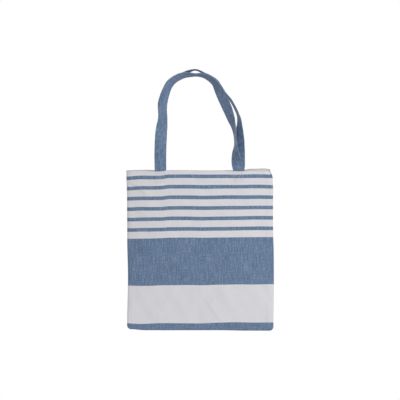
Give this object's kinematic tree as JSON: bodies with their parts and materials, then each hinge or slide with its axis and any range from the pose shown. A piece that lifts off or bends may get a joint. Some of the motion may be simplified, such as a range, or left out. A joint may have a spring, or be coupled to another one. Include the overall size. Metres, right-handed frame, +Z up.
{
  "type": "cotton tote bag",
  "caption": "Flat striped cotton tote bag with two long cloth handles, hanging empty from a hook; each handle folds down over its own side.",
  "frame": {"origin": "where a hook touches the underside of the front handle, above the middle of the bag", "axes": "+Z up from the bag to the hook, front panel facing -Y, +X to the right as seen from the front"},
  "size_m": [0.38, 0.0432, 0.6773],
  "materials": {
    "striped_cotton": "matte woven cotton, off-white with blue weft stripes",
    "white_cotton": "matte woven cotton, off-white",
    "blue_cotton": "matte woven cotton, mid blue with white warp flecks",
    "sewing_thread": "matte off-white sewing thread",
    "blue_thread": "matte mid blue sewing thread"
  },
  "bodies": {
    "bag": {"front_panel": "striped_cotton", "back_panel": "striped_cotton", "front_hem": "white_cotton", "back_hem": "white_cotton", "front_hem_stitching": "sewing_thread", "back_hem_stitching": "sewing_thread", "front_handle_left_end": "blue_cotton", "front_handle_right_end": "blue_cotton", "back_handle_left_end": "blue_cotton", "back_handle_right_end": "blue_cotton", "front_left_box_stitching": "sewing_thread", "front_right_box_stitching": "sewing_thread", "back_left_box_stitching": "sewing_thread", "back_right_box_stitching": "sewing_thread", "left_side_seam": "striped_cotton", "right_side_seam": "striped_cotton", "bottom_seam": "blue_cotton", "left_overlock_thread": "sewing_thread", "right_overlock_thread": "sewing_thread", "bottom_overlock_thread": "sewing_thread"},
    "front_handle": {"front_handle": "blue_cotton", "front_handle_outer_stitching": "blue_thread", "front_handle_inner_stitching": "blue_thread"},
    "back_handle": {"back_handle": "blue_cotton", "back_handle_outer_stitching": "blue_thread", "back_handle_inner_stitching": "blue_thread"}
  },
  "joints": [
    {"name": "front_handle_fold", "type": "hinge", "parent": "bag", "child": "front_handle", "pos_m": [0, -0.00947, -0.247], "axis": [1, 0, 0], "range_deg": [0, 160]},
    {"name": "back_handle_fold", "type": "hinge", "parent": "bag", "child": "back_handle", "pos_m": [0, 0.00947, -0.247], "axis": [-1, 0, 0], "range_deg": [0, 160]}
  ]
}
